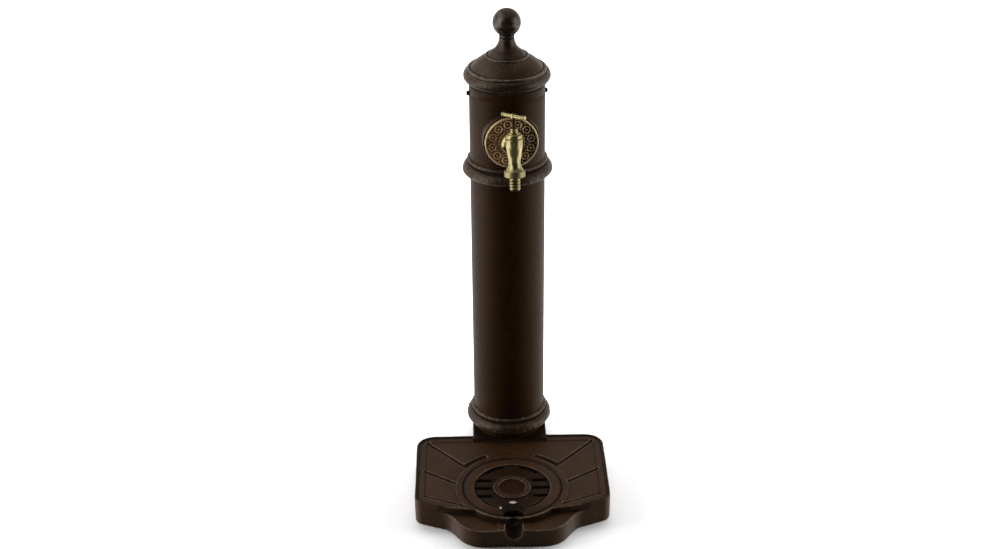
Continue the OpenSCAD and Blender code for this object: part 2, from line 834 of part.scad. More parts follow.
module gland_packing() color(fibre) on_barrel(packing_z)
    ring(2 * packing_r, stem_d + 2 * run_gap, packing_h);

module spindle() color(polished) on_barrel(0) difference() {
    union() {
        translate([0, 0, spindle_z]) cylinder(d = spindle_d, h = thread_top - spindle_z);
        translate([0, 0, spindle_z + over]) cylinder(d = stem_d, h = bar_seat - spindle_z - over);
        translate([0, 0, bar_seat - over]) cylinder(d = tenon_d, h = bar_d + over + peen_h);
        translate([0, 0, bar_seat + bar_d]) cylinder(d = peen_d, h = peen_h);
    }
    translate([0, 0, spindle_z - over]) cylinder(r = jumper_d / 2 + run_gap, h = jumper_len + 2 * over);
}

module t_bar() color(polished) on_barrel(bar_z) rotate([0, 0, bar_turn]) difference() {
    thick = bar_d / 2;
    half = bar_len / 2;
    knob = half - bar_knob;
    neck = knob - bar_groove;
    union() {
        both_sides() rotate([0, 90, 0]) rotate_extrude()
            polygon([
                [0, 0], [thick - bar_taper, 0], [thick - bar_taper / 2, neck],
                [thick - bar_groove, neck], [thick - bar_groove, knob],
                [thick, knob], [thick, half - tap_bevel], [thick - tap_bevel, half], [0, half]
            ]);
        translate([0, 0, -bar_d / 2]) cylinder(d = bar_hub_d, h = bar_d);
    }
    translate([0, 0, -bar_d]) cylinder(r = tenon_d / 2 + fit_gap / 2, h = 2 * bar_d);
}

module jumper_valve() color(polished) on_barrel(0) {
    translate([0, 0, disc_z]) cylinder(d = disc_d, h = disc_h);
    translate([0, 0, disc_z + disc_h - over]) cylinder(d = jumper_d, h = jumper_len + over);
    translate([0, 0, seat_z - valve_nut_h - over])
        cylinder(d = valve_stud_d, h = valve_rest + valve_nut_h + 2 * over);
}

module valve_washer() color(rubber) on_barrel(seat_z)
    ring(disc_d - tap_bevel, valve_stud_d + 2 * fit_gap, valve_rest);

module washer_nut() color(polished) on_barrel(seat_z - valve_nut_h) difference() {
    hexagon(valve_nut_d, valve_nut_h);
    translate([0, 0, -over]) cylinder(r = valve_stud_d / 2 + fit_gap / 2, h = valve_nut_h + 2 * over);
}

module union_nut() color(polished) on_barrel(nut_z) difference() {
    wide = nut_d / 2;
    rotate_extrude()
        polygon([
            [0, 0], [wide - nut_bevel, 0], [wide, nut_bevel], [wide, nut_h - nut_bevel],
            [wide - nut_bevel, nut_h], [0, nut_h]
        ]);
    translate([0, 0, nut_lip]) cylinder(r = outlet_d / 2 + run_gap, h = nut_h);
    translate([0, 0, -over]) cylinder(r = tail_neck_d / 2 + run_gap, h = nut_h);
}

module hose_tail() color(polished) on_barrel(0) difference() {
    crest = tail_d / 2;
    root = crest - barb_deep;
    slope = barb_pitch - barb_land - barb_back;
    union() {
        translate([0, 0, tail_flange_z]) cylinder(d = tail_flange_d, h = tail_flange_h);
        translate([0, 0, nut_z]) cylinder(d = tail_neck_d, h = nut_lip + over);
        translate([0, 0, nut_z - tail_len]) cylinder(r = root, h = tail_len + over);
        for (k = [0 : barb_n - 1]) translate([0, 0, nut_z - tail_len + k * barb_pitch]) {
            cylinder(r1 = root - fit_gap, r2 = crest, h = slope);
            translate([0, 0, slope]) cylinder(r = crest, h = barb_land);
        }
    }
    translate([0, 0, nut_z - tail_len - over]) cylinder(d = waterway_d, h = tail_len + nut_h);
}

module tail_washer() color(rubber) on_barrel(tail_flange_z + tail_flange_h)
    ring(tail_flange_d, waterway_d + tap_bevel, tail_seal_t);

module saddle_washer() color(steel) intersection() {
    along_inlet() translate([0, 0, bush_y]) ring(shank_d + 2 * saddle_w, 2 * hole_r, column_r);
    cylinder(r = column_ir - fit_gap, h = 2 * tap_z);
}

module back_nut() color(polished) along_inlet() translate([0, 0, bush_y - back_nut_h]) difference() {
    hexagon(shank_d + 2 * back_nut_w, back_nut_h);
    translate([0, 0, -over]) cylinder(r = hole_r, h = back_nut_h + 2 * over);
}

module pipe_elbow() color(polished) {
    drop_r = pipe_r + fit_gap + socket_wall;
    shell = max(drop_r, hole_r + socket_wall) + elbow_step;
    difference() {
        union() {
            along_inlet() translate([0, 0, -elbow_back]) cylinder(r = shell, h = elbow_back + elbow_y);
            translate([0, 0, tap_z - elbow_drop]) cylinder(r = drop_r, h = elbow_drop);
        }
        along_inlet() translate([0, 0, elbow_y - socket_deep]) cylinder(r = hole_r, h = socket_deep + over);
        along_inlet() cylinder(d = pipe_bore - elbow_step, h = elbow_y);
        translate([0, 0, tap_z - elbow_drop - over]) cylinder(r = pipe_r + fit_gap, h = socket_deep + over);
        translate([0, 0, tap_z - elbow_drop]) cylinder(d = pipe_bore, h = elbow_drop);
    }
}

module riser_pipe() color(steel) translate([0, 0, pipe_z]) ring(pipe_d, pipe_bore, pipe_top - pipe_z);

module riser_grommet() color(rubber) translate([0, 0, plinth_h])
    ring(2 * (pipe_hole_r - fit_gap), pipe_d + 2 * fit_gap, flange_t);

module inlet_socket() color(polished) {
    across = 2 * (pipe_r + fit_gap + socket_wall) / cos(30);
    difference() {
        hexagon(across, inlet_len);
        translate([0, 0, -over]) cylinder(d = inlet_d, h = socket_deep + over);
        cylinder(d = pipe_bore, h = inlet_len);
        translate([0, 0, pipe_z]) cylinder(r = pipe_r + fit_gap, h = inlet_len);
    }
}

base_casting();
drain_grate();
column_tube();
foot_flange();
foot_bolts();
foot_washers();
foot_bead();
mid_bead();
column_cap();
cap_screws();
finial();
tap_boss();
rosette();
tap_body();
bonnet();
bonnet_washer();
gland_nut();
gland_packing();
spindle();
t_bar();
jumper_valve();
valve_washer();
washer_nut();
union_nut();
hose_tail();
tail_washer();
saddle_washer();
back_nut();
pipe_elbow();
riser_pipe();
riser_grommet();
inlet_socket();
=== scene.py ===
import math

import bpy
import numpy as np
from mathutils import Matrix, Vector, noise


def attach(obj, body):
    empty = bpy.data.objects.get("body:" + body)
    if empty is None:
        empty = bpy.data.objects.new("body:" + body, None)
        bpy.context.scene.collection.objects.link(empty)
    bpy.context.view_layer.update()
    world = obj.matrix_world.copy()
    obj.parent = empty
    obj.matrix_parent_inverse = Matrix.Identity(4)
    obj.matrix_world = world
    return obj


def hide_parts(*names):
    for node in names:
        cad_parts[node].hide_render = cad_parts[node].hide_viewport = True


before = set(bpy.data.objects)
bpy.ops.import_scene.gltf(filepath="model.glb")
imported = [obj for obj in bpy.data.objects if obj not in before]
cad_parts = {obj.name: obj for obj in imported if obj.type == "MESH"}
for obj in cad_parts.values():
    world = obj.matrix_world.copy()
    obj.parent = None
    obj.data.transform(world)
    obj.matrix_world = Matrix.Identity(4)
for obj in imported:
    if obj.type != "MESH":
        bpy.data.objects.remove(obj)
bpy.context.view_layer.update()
scene = bpy.context.scene

# Outlines are in millimetres, meshes and materials in metres. Z is up, and the tap and tray face -Y.

MM = 0.001
COLUMN_TURN = Matrix.Rotation(math.radians(4.2), 4, "Z")
COLUMN_R = 70.0
COLUMN_WALL = 4.0
COLUMN_FOOT = 54.0
COLUMN_TOP = 782.0
LINE_DROP = 16.0
SCREW_DROP = 18.0
FINIAL_FOOT = 868.6
TAP_Z = 697.0
TAP_LEAN = math.radians(10)
BARREL_Y = 126.0
# Heights up the barrel where the tap's pieces begin, the barrel ends and the handle's bar lies
TAIL_FOOT = 628.1
NUT_FOOT = 653.1
BARREL_FOOT = 659.0
BARREL_TOP = 722.0
BONNET_FOOT = 723.0
GLAND_FOOT = 733.0
BAR_Z = 762.5
QUARTER = math.pi / 2
# Z of this frame runs up the leaning barrel, measured as if it stood upright
BARREL = (
    COLUMN_TURN @ Matrix.Translation((0, -BARREL_Y * MM, TAP_Z * MM))
    @ Matrix.Rotation(-TAP_LEAN, 4, "X") @ Matrix.Translation((0, 0, -TAP_Z * MM))
)
# Z of this frame runs forward along the tap's inlet, X to the right and Y up
INLET = COLUMN_TURN @ Matrix.Translation((0, 0, TAP_Z * MM)) @ Matrix.Rotation(QUARTER, 4, "X")
GRATE_Y = -0.230
SLOT_PITCH = 0.025


# Node trees

def node(tree, kind, inputs=None, **settings):
    """Adds a node, sets its properties, and links or sets its inputs."""
    made = tree.nodes.new(kind)
    for key, value in settings.items():
        setattr(made, key, value)
    for key, value in (inputs or {}).items():
        socket = made.inputs[key]
        if isinstance(value, bpy.types.NodeSocket):
            tree.links.new(value, socket)
        else:
            socket.default_value = value
    return made


def rgb(colour, share=1.0):
    return (*[share * c for c in colour], 1.0)


def noise_at(tree, where, scale, detail, rough):
    inputs = {"Vector": where, "Scale": scale, "Detail": detail, "Roughness": rough}
    return node(tree, "ShaderNodeTexNoise", inputs).outputs["Fac"]


def ramp(tree, value, low, high, to_low=0.0, to_high=1.0):
    made = node(
        tree, "ShaderNodeMapRange",
        {"Value": value, "From Min": low, "From Max": high, "To Min": to_low, "To Max": to_high},
        interpolation_type="SMOOTHSTEP",
    )
    return made.outputs["Result"]


def mix(tree, factor, a, b):
    made = node(tree, "ShaderNodeMix", {0: factor, 6: a, 7: b}, data_type="RGBA")
    return made.outputs[2]


def maths(tree, operation, a, b=0.0):
    return node(tree, "ShaderNodeMath", {0: a, 1: b}, operation=operation).outputs[0]


def times(tree, a, b):
    return maths(tree, "MULTIPLY", a, b)


def split(tree, vector):
    """The X, Y and Z of a vector."""
    return node(tree, "ShaderNodeSeparateXYZ", {0: vector}).outputs


def stored(tree, name):
    """A number that each vertex of the mesh carries."""
    return node(tree, "ShaderNodeAttribute", attribute_name=name).outputs["Fac"]


def bump(tree, height, strength, distance):
    inputs = {"Height": height, "Strength": strength, "Distance": distance}
    return node(tree, "ShaderNodeBump", inputs).outputs["Normal"]


def from_centre(tree, where, x, y, wide=1.0, deep=1.0):
    """Distance from a point seen from above, with each direction divided by its own factor."""
    place = split(tree, where)
    across = times(tree, maths(tree, "SUBTRACT", place["X"], x), 1 / wide)
    along = times(tree, maths(tree, "SUBTRACT", place["Y"], y), 1 / deep)
    squares = maths(tree, "ADD", times(tree, across, across), times(tree, along, along))
    return maths(tree, "SQRT", squares)


def material(name):
    made = bpy.data.materials.new(name)
    made.use_nodes = True
    tree = made.node_tree
    tree.nodes.clear()
    out = node(tree, "ShaderNodeOutputMaterial")
    shader = node(tree, "ShaderNodeBsdfPrincipled")
    tree.links.new(shader.outputs["BSDF"], out.inputs["Surface"])
    where = node(tree, "ShaderNodeTexCoord").outputs["Object"]
    return made, tree, shader, where


# Materials

WHITE = (1.0, 1.0, 1.0)
WARM_GLOSS = (1.0, 0.91, 0.81)
BROWN_GLOSS = (1.0, 0.82, 0.62)
RUST = (0.06, 0.02, 0.008)
# Pale colour of rubbed wear and of painted highlights on edges and crests
WEAR_AND_HIGHLIGHT = (0.15, 0.115, 0.085)
# Lighter colours of the tray's upright outer walls: painted light, with real reddish patches
LIT_WALL_BROWN = (0.062, 0.033, 0.0170)
LIT_WALL_RED = (0.082, 0.032, 0.0115)
HUB_DARK = (0.012, 0.0040, 0.0022)
# Colour of the painted glints on the grate
GLINT_PALE = (0.32, 0.30, 0.285)
# Shares of the dark colour for painted shade and dirt in corners and in deep places
CORNER_SHADE_AND_DIRT = 0.20
DEEP_SHADE_AND_DIRT = 0.16

# Where painted shade, painted light, painted glints and other tone begin and end on the tray and the
# grate, in metres
GRATE_GAP_R = (0.0955, 0.0978)
BOWL_RIM_Z = (0.044, 0.046)
OUTER_WALL_R = (0.110, 0.116)
LIP_Z = (0.0505, 0.0515)
BARS_INNER_R = (0.033, 0.038)
BARS_OUTER_R = (0.064, 0.070)
HUB_R = (0.021, 0.026)
BORDER_R = (0.0898, 0.0918)
NOTCH_Y = -0.306
NOTCH_R = (0.020, 0.025)
FRONT_Y = (-0.305, -0.280)
GLINT_R = (0.0035, 0.0062)
# X, Y and relative width of each painted glint
GLINTS = ((0.0, -0.2765, 1.35), (-0.0235, -0.2930, 0.45))


def paint(
    name, base, dark, grain, depth, rough, specular=0.15, ior=1.5, gloss=WHITE, worn=0.0,
    edges=False, zones=None,
):
    """Mottled paint. edges lightens outer edges by the stored bend as rubbed wear and painted
    highlight, and darkens corners as painted shade and dirt, made matte; zones adds painted shade,
    painted light and other tone by place.
    """
    made, tree, shader, where = material(name)
    cloud = noise_at(tree, where, 14.0, 4.0, 0.6)
    mottle = noise_at(tree, where, 120.0, 3.0, 0.6)
    fine = noise_at(tree, where, grain, 2.0, 0.6)
    colour = mix(tree, ramp(tree, cloud, 0.3, 0.7), rgb(dark), rgb(base))
    colour = mix(tree, ramp(tree, mottle, 0.5, 0.75, 0.0, 0.35), colour, rgb(base, 1.5))
    dull = ramp(tree, mottle, 0.3, 0.7, rough - 0.05, rough + 0.08)
    if worn:
        patch = ramp(tree, noise_at(tree, where, 22.0, 5.0, 0.65), 0.56, 0.72, 0.0, worn)
        colour = mix(tree, patch, colour, rgb(RUST))
    if edges:
        # Outer edges: rubbed wear and painted highlight. Corners: painted shade and dirt, made matte.
        edge = stored(tree, "edge")
        broken = ramp(tree, noise_at(tree, where, 90.0, 4.0, 0.7), 0.34, 0.60, 0.15, 1.0)
        wear_and_highlight = times(tree, ramp(tree, edge, 0.12, 0.55, 0.0, 0.75), broken)
        shade_and_dirt = ramp(tree, edge, -0.30, -0.04, 0.85, 0.0)
        colour = mix(tree, shade_and_dirt, colour, rgb(dark, CORNER_SHADE_AND_DIRT))
        colour = mix(tree, wear_and_highlight, colour, rgb(WEAR_AND_HIGHLIGHT))
        dull = maths(tree, "MAXIMUM", dull, ramp(tree, edge, -0.30, -0.10, 0.9, 0.0))
    if zones:
        colour = zones(tree, where, colour, dark)
    tree.links.new(colour, shader.inputs["Base Color"])
    tree.links.new(dull, shader.inputs["Roughness"])
    shader.inputs["Specular IOR Level"].default_value = specular
    shader.inputs["Specular Tint"].default_value = rgb(gloss)
    shader.inputs["IOR"].default_value = ior
    relief = maths(tree, "ADD", fine, times(tree, mottle, 0.6))
    tree.links.new(bump(tree, relief, 0.6, depth), shader.inputs["Normal"])
    return made


def tray_zones(tree, where, colour, dark):
    """Painted shade in the gap round the grate, lighter outer walls as painted light with real reddish
    patches, and painted shade on the lip and plinth top.
    """
    deep = rgb(dark, DEEP_SHADE_AND_DIRT)
    away = from_centre(tree, where, 0.0, GRATE_Y)
    height = split(tree, where)["Z"]
    # Painted shade in the gap round the grate
    round_grate = ramp(tree, away, *GRATE_GAP_R, 0.95, 0.0)
    gap_shade = times(tree, round_grate, ramp(tree, height, *BOWL_RIM_Z))
    colour = mix(tree, gap_shade, colour, deep)
    # Upright outer walls lighter as painted light, with real reddish patches
    patch = ramp(tree, noise_at(tree, where, 13.0, 3.0, 0.5), 0.48, 0.62, 0.0, 0.9)
    lit_walls = mix(tree, patch, rgb(LIT_WALL_BROWN), rgb(LIT_WALL_RED))
    outer_wall = times(tree, stored(tree, "wall"), ramp(tree, away, *OUTER_WALL_R))
    colour = mix(tree, times(tree, outer_wall, 0.8), colour, lit_walls)
    # Painted shade on the lip and plinth top
    return mix(tree, ramp(tree, height, *LIP_Z, 0.0, 0.8), colour, deep)


def grate_zones(tree, where, colour, dark):
    """Darker bars as dirt and painted shade, a darker hub, painted shade on the border and by the
    finger notch, darker towards the front, and two painted glints.
    """
    deep = rgb(dark, DEEP_SHADE_AND_DIRT)
    away = from_centre(tree, where, 0.0, GRATE_Y)
    # Bars darker: dirt and painted shade in the recess
    inside = ramp(tree, away, *BARS_OUTER_R, 0.75, 0.0)
    bar_shade_and_dirt = times(tree, inside, ramp(tree, away, *BARS_INNER_R, 0.3, 1.0))
    colour = mix(tree, bar_shade_and_dirt, colour, deep)
    colour = mix(tree, ramp(tree, away, *HUB_R, 0.95, 0.0), colour, rgb(HUB_DARK))
    # Painted shade on the border in the gap round the grate
    colour = mix(tree, ramp(tree, away, *BORDER_R, 0.0, 0.95), colour, deep)
    # Painted shade by the finger notch
    from_notch = from_centre(tree, where, 0.0, NOTCH_Y, 1.0, 1.2)
    colour = mix(tree, ramp(tree, from_notch, *NOTCH_R, 0.97, 0.0), colour, deep)
    # Darker towards the front
    front = ramp(tree, split(tree, where)["Y"], *FRONT_Y, 0.45, 0.0)
    colour = mix(tree, front, colour, deep)
    # Two painted glints
    for x, y, wide in GLINTS:
        glint = ramp(tree, from_centre(tree, where, x, y, wide, 0.75), *GLINT_R, 0.9, 0.0)
        colour = mix(tree, glint, colour, rgb(GLINT_PALE))
    return colour


def metal(name, base, deep, rough, grain=260.0, depth=0.00002):
    made, tree, shader, where = material(name)
    cloud = noise_at(tree, where, 60.0, 3.0, 0.6)
    fine = noise_at(tree, where, grain, 2.0, 0.5)
    colour = mix(tree, ramp(tree, cloud, 0.35, 0.7), rgb(base), rgb(deep))
    dull = ramp(tree, cloud, 0.3, 0.7, rough * 0.8, rough * 1.3)
    tree.links.new(colour, shader.inputs["Base Color"])
    tree.links.new(dull, shader.inputs["Roughness"])
    shader.inputs["Metallic"].default_value = 1.0
    tree.links.new(bump(tree, fine, 0.3, depth), shader.inputs["Normal"])
    return made


def antique(name):
    """Tarnished brass: pale where the stored height is great, its ground painted lighter on the left
    and darker on the right as painted light.
    """
    made, tree, shader, where = material(name)
    clouds = ramp(tree, noise_at(tree, where, 45.0, 3.0, 0.6), 0.35, 0.65)
    fine = noise_at(tree, where, 900.0, 2.0, 0.6)
    # The ground is lighter on the left and darker on the right: painted light
    lit_ground = mix(tree, clouds, rgb((0.30, 0.120, 0.040)), rgb((0.46, 0.20, 0.075)))
    shaded_ground = mix(tree, clouds, rgb((0.040, 0.017, 0.008)), rgb((0.13, 0.055, 0.022)))
    ground = mix(tree, ramp(tree, split(tree, where)["X"], -0.030, 0.022), lit_ground, shaded_ground)
    crest = mix(tree, clouds, rgb((0.78, 0.56, 0.31)), rgb((0.96, 0.76, 0.46)))
    height = maths(tree, "ADD", stored(tree, "height"), times(tree, fine, 0.15))
    level = ramp(tree, height, 0.24, 0.72)
    tree.links.new(mix(tree, level, ground, crest), shader.inputs["Base Color"])
    tree.links.new(ramp(tree, level, 0.0, 1.0, 0.55, 0.30), shader.inputs["Roughness"])
    shader.inputs["Metallic"].default_value = 0.3
    tree.links.new(bump(tree, fine, 0.3, 0.00006), shader.inputs["Normal"])
    return made


IRON = paint(
    "brown_iron", (0.029, 0.0134, 0.0054), (0.021, 0.0092, 0.0035),
    grain=700.0, depth=0.00035, rough=0.38, specular=0.5, gloss=WARM_GLOSS,
    worn=0.25, edges=True, zones=tray_zones,
)
GRATE_IRON = paint(
    "grate_iron", (0.032, 0.0150, 0.0064), (0.024, 0.0106, 0.0042),
    grain=700.0, depth=0.00035, rough=0.38, specular=0.5, gloss=WARM_GLOSS,
    edges=True, zones=grate_zones,
)
ROUGH_IRON = paint(
    "brown_iron_rough", (0.030, 0.0142, 0.0060), (0.022, 0.0098, 0.0040),
    grain=420.0, depth=0.0004, rough=0.28, specular=0.85, gloss=WARM_GLOSS, edges=True,
)
BALL_IRON = paint(
    "ball_iron", (0.020, 0.0092, 0.0040), (0.015, 0.0066, 0.0028),
    grain=420.0, depth=0.0003, rough=0.20, specular=1.0, ior=1.75, gloss=WARM_GLOSS, edges=True,
)
TUBE_PAINT = paint(
    "brown_paint", (0.028, 0.0132, 0.0050), (0.023, 0.0105, 0.0040),
    grain=1300.0, depth=0.00008, rough=0.36, specular=0.2, gloss=BROWN_GLOSS,
)
BRASS = metal("polished_brass", (0.84, 0.74, 0.36), (0.72, 0.58, 0.26), rough=0.12)
NUT_BRASS = metal("dull_brass", (0.66, 0.54, 0.27), (0.54, 0.42, 0.20), rough=0.32)
STEM_BRASS = metal("stem_brass", (0.13, 0.09, 0.042), (0.08, 0.055, 0.026), rough=0.28)
ANTIQUE = antique("antique_brass")
STEEL = metal(
    "steel", (0.52, 0.53, 0.54), (0.40, 0.41, 0.42), rough=0.38, grain=400.0, depth=0.00004,
)
BLACK = paint(
    "black_screws", (0.012, 0.011, 0.010), (0.008, 0.008, 0.008),
    grain=900.0, depth=0.00005, rough=0.35,
)
RUBBER = paint(
    "rubber", (0.025, 0.025, 0.025), (0.015, 0.015, 0.015),
    grain=700.0, depth=0.0001, rough=0.7,
)
FIBRE = paint(
    "fibre", (0.10, 0.045, 0.025), (0.07, 0.03, 0.018),
    grain=900.0, depth=0.0002, rough=0.75,
)


# Meshes

TURNED_SHARP = 38.0
REMESHED_SHARP = 60.0
RELIEF_SHARP = 70.0


def object_of(name, mesh, paint_used, sharp):
    mesh.polygons.foreach_set("use_smooth", [True] * len(mesh.polygons))
    mesh.set_sharp_from_angle(angle=math.radians(sharp))
    mesh.materials.clear()
    mesh.materials.append(paint_used)
    made = bpy.data.objects.new(name, mesh)
    scene.collection.objects.link(made)
    return made


def piece(name, points, faces, paint_used, sharp=TURNED_SHARP):
    mesh = bpy.data.meshes.new(name)
    mesh.from_pydata([tuple(p) for p in points], [], faces)
    mesh.update()
    return object_of(name, mesh, paint_used, sharp)


def finish_piece(made, body, slot, *nodes):
    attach(made, body)
    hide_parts(*nodes)


def joined(parts):
    """One list of points and one of faces from several."""
    points, faces = [], []
    for part_points, part_faces in parts:
        offset = len(points)
        points += [tuple(p) for p in part_points]
        faces += [[i + offset for i in face] for face in part_faces]
    return points, faces


def arc(x, z, r, start, end, count):
    """Points of an arc about (x, z), with its angles in degrees."""
    angles = np.radians(np.linspace(start, end, count))
    return [(x + r * math.cos(a), z + r * math.sin(a)) for a in angles]


def raised(foot, outline):
    return [(r, z + foot) for r, z in outline]


def fillet(outline, r, count=5):
    """The outline with each inner corner rounded to about r."""
    out = [outline[0]]
    for before, here, after in zip(outline, outline[1:], outline[2:]):
        p, q, s = (np.array(v, float) for v in (before, here, after))
        a, b = p - q, s - q
        la, lb = np.linalg.norm(a), np.linalg.norm(b)
        if la < 1e-6 or lb < 1e-6:
            continue
        cut = min(r, 0.45 * la, 0.45 * lb)
        start, end = q + a / la * cut, q + b / lb * cut
        for t in np.linspace(0, 1, count):
            out.append(tuple((1 - t) ** 2 * start + 2 * t * (1 - t) * q + t * t * end))
    out.append(outline[-1])
    return out


def lathe_mesh(outline, steps, closed=False):
    """Points and faces of an outline turned about Z; the outline runs upwards on the outside."""
    angles = np.linspace(0, 2 * math.pi, steps, endpoint=False)
    points, rings = [], []
    for r, z in outline:
        if r < 1e-6:
            rings.append([len(points)] * steps)
            points.append((0.0, 0.0, z * MM))
        else:
            rings.append(range(len(points), len(points) + steps))
            points += [(r * MM * math.cos(a), r * MM * math.sin(a), z * MM) for a in angles]
    faces = []
    pairs = list(zip(rings, rings[1:])) + ([(rings[-1], rings[0])] if closed else [])
    for low, high in pairs:
        for k in range(steps):
            n = (k + 1) % steps
            face = [low[k], low[n], high[n], high[k]]
            kept = [v for i, v in enumerate(face) if v != face[i - 1]]
            if len(kept) > 2:
                faces.append(kept)
    return np.array(points), faces


def moved(points, matrix):
    m = np.array(matrix)
    return points @ m[:3, :3].T + m[:3, 3]


def lumps(points, amount, size, seed):
    """Pushes points away from or towards the Z axis by noise, as a casting's uneven skin."""
    shift = Vector((seed * 3.1, seed * 1.7, seed * 0.9))
    out = points.copy()
    for i, p in enumerate(points):
        d = Vector((p[0], p[1], 0))
        if d.length < 1e-5:
            continue
        coarse = noise.noise(Vector(p) / size + shift)
        n = coarse + 0.5 * noise.noise(Vector(p) / (0.45 * size) - shift)
        push = d.normalized() * (amount * n)
        out[i, 0] += push.x
        out[i, 1] += push.y
        out[i, 2] += 0.4 * amount * noise.noise(Vector(p) / size - 2 * shift)
    return out


def turned(name, outline, paint_used, place, steps, closed=False, rough=()):
    """A turned piece; rough lists the amount, size and seed of each layer of lumps."""
    points, faces = lathe_mesh(outline, steps, closed)
    for amount, size, seed in rough:
        points = lumps(points, amount * MM, size * MM, seed)
    return piece(name, moved(points, place), faces, paint_used)


def remeshed(name, parts, paint_used, voxel, passes):
    """One rounded skin over the parts: voxels, then smoothing."""
    points, faces = joined(parts)
    rough_mesh = bpy.data.meshes.new(name + "_rough")
    rough_mesh.from_pydata(points, [], faces)
    rough_mesh.update()
    rough_piece = bpy.data.objects.new(name + "_rough", rough_mesh)
    scene.collection.objects.link(rough_piece)
    grow = rough_piece.modifiers.new("voxels", "REMESH")
    grow.mode = "VOXEL"
    grow.voxel_size = voxel * MM
    even = rough_piece.modifiers.new("smooth", "SMOOTH")
    even.factor = 0.5
    even.iterations = passes
    bpy.context.view_layer.update()
    grown = rough_piece.evaluated_get(bpy.context.evaluated_depsgraph_get())
    mesh = bpy.data.meshes.new_from_object(grown)
    bpy.data.objects.remove(rough_piece)
    return object_of(name, mesh, paint_used, REMESHED_SHARP)


def solid_of(name):
    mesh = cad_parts[name].data
    return [tuple(v.co) for v in mesh.vertices], [list(p.vertices) for p in mesh.polygons]


# Numbers that vertices carry

def points_of(made):
    co = np.empty(len(made.data.vertices) * 3)
    made.data.vertices.foreach_get("co", co)
    return co.reshape(-1, 3)


def normals_of(made):
    no = np.empty(len(made.data.vertices) * 3)
    made.data.vertex_normals.foreach_get("vector", no)
    return no.reshape(-1, 3)


def store(made, name, values):
    made.data.attributes.new(name, "FLOAT", "POINT").data.foreach_set("value", values)


def skin_noise(made, layers):
    """Moves each vertex along its normal by noise; each layer is an amount, a size and a seed."""
    co = points_of(made)
    push = np.zeros(len(co))
    for amount, size, seed in layers:
        shift = Vector((seed * 2.3, seed * 1.1, seed * 0.7))
        push += [amount * MM * noise.noise(Vector(p) / (size * MM) + shift) for p in co]
    made.data.vertices.foreach_set("co", (co + normals_of(made) * push[:, None]).ravel())
    made.data.update()


def mark_edges(made, reach, passes):
    """Stores how sharply the skin bends: above nought on outer edges, below it in corners."""
    co = points_of(made)
    ends = np.empty(len(made.data.edges) * 2, dtype=np.int64)
    made.data.edges.foreach_get("vertices", ends)
    ends = ends.reshape(-1, 2)
    count = len(co)
    near = np.maximum(np.bincount(ends.ravel(), minlength=count), 1)

    def spread(values):
        total = np.bincount(ends[:, 0], values[ends[:, 1]], count)
        return (total + np.bincount(ends[:, 1], values[ends[:, 0]], count)) / near

    middle = np.stack([spread(co[:, k]) for k in range(3)], axis=1)
    bend = ((co - middle) * normals_of(made)).sum(1) / (reach * MM)
    for _ in range(passes):
        bend = 0.5 * bend + 0.5 * spread(bend)
    store(made, "edge", bend)


def shade(made, chosen, value, add=False):
    """Sets or adds to the bend at the vertices that chosen picks: below nought they turn darker and
    matte, mostly as painted shade; above nought they turn paler, as a painted highlight.
    """
    edge = made.data.attributes["edge"].data
    bend = np.empty(len(edge))
    edge.foreach_get("value", bend)
    edge.foreach_set("value", np.where(chosen(points_of(made)), bend * add + value, bend))


def from_hub(p):
    return np.hypot(p[:, 0], p[:, 1] - GRATE_Y)


# Tray, plinth and grate

CHANNEL_Z = (0.0445, 0.0474)
CHANNEL_X = 0.03
GUTTER = {"half_width": 0.0165, "y": -0.3357, "half_length": 0.0137, "z": 0.014}
PLINTH_FRONT = {"half_width": 0.0735, "y": -0.073, "half_depth": 0.003, "z": 0.049}


def dress_tray():
    tray = remeshed("tray_and_plinth", [solid_of("base_casting")], IRON, voxel=1.3, passes=3)
    mark_edges(tray, reach=0.25, passes=2)
    facing_up = normals_of(tray)[:, 2]
    store(tray, "wall", np.clip((0.65 - facing_up) / 0.4, 0, 1))

    def channel_floors(p):
        deep = (CHANNEL_Z[0] < p[:, 2]) & (p[:, 2] < CHANNEL_Z[1])
        return (facing_up > 0.55) & deep & (abs(p[:, 0]) > CHANNEL_X)

    def in_gutter(p):
        beside = abs(p[:, 0]) < GUTTER["half_width"]
        along = abs(p[:, 1] - GUTTER["y"]) < GUTTER["half_length"]
        return beside & along & (p[:, 2] > GUTTER["z"])

    def on_plinth_front(p):
        beside = abs(p[:, 0]) < PLINTH_FRONT["half_width"]
        along = abs(p[:, 1] - PLINTH_FRONT["y"]) < PLINTH_FRONT["half_depth"]
        return beside & along & (p[:, 2] > PLINTH_FRONT["z"])

    # Painted shade in the channel floors and the gutter, and a painted shadow on the plinth's front
    # under the bead
    shade(tray, channel_floors, -0.6)
    shade(tray, in_gutter, -0.2, add=True)
    shade(tray, on_plinth_front, -0.5)
    skin_noise(tray, [(0.35, 28.0, 1), (0.16, 7.0, 2)])
    finish_piece(tray, "standpipe", "brown_iron", "base_casting")


SLOT_HALF_WIDTH = 0.0056
SLOT_R = (0.038, 0.0675)
SLOT_INNER_X = 0.030
BORDER_STEP = {"r": 0.066, "z": 0.0495}
HUB_TOP_R = 0.0235


def by_slots(p):
    """Picks the grate's points beside its straight slots."""
    across = p[:, 1] - GRATE_Y
    row = np.abs(across - SLOT_PITCH * np.clip(np.round(across / SLOT_PITCH), -1, 1))
    r = from_hub(p)
    between = (SLOT_R[0] < r) & (r < SLOT_R[1])
    return (row < SLOT_HALF_WIDTH) & between & (abs(p[:, 0]) > SLOT_INNER_X)


def on_low_border(p):
    return (from_hub(p) > BORDER_STEP["r"]) & (p[:, 2] < BORDER_STEP["z"])


